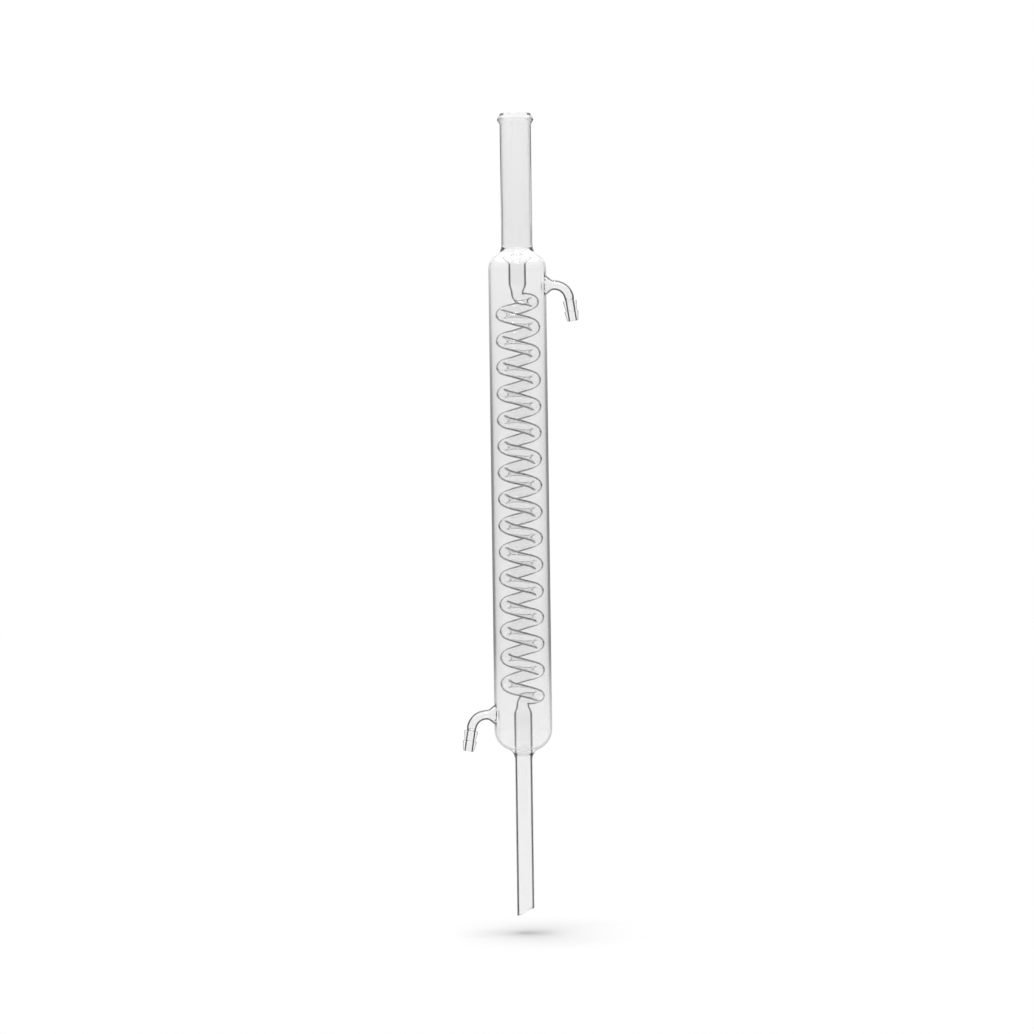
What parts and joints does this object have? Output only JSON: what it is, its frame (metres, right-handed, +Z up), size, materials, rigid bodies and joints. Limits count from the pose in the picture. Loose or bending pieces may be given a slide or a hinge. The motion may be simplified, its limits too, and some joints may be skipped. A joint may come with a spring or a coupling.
{
  "type": "coil condenser",
  "caption": "Upright glass coil condenser: a plain beaded neck, a long closed water jacket with bent hose nozzles, and a wound inner tube that drains to a slant-cut stem.",
  "frame": {"origin": "on the axis of the neck, jacket and stem, half way between the two ends of the water jacket, where a stand's clamp holds it", "axes": "+Z up along the axis through the neck, +X towards the upper hose arm, and the lower hose arm on -X"},
  "size_m": [0.0958, 0.0454, 0.6337],
  "materials": {
    "glass": "gloss"
  },
  "bodies": {
    "root": {"condenser": "glass"}
  },
  "joints": []
}
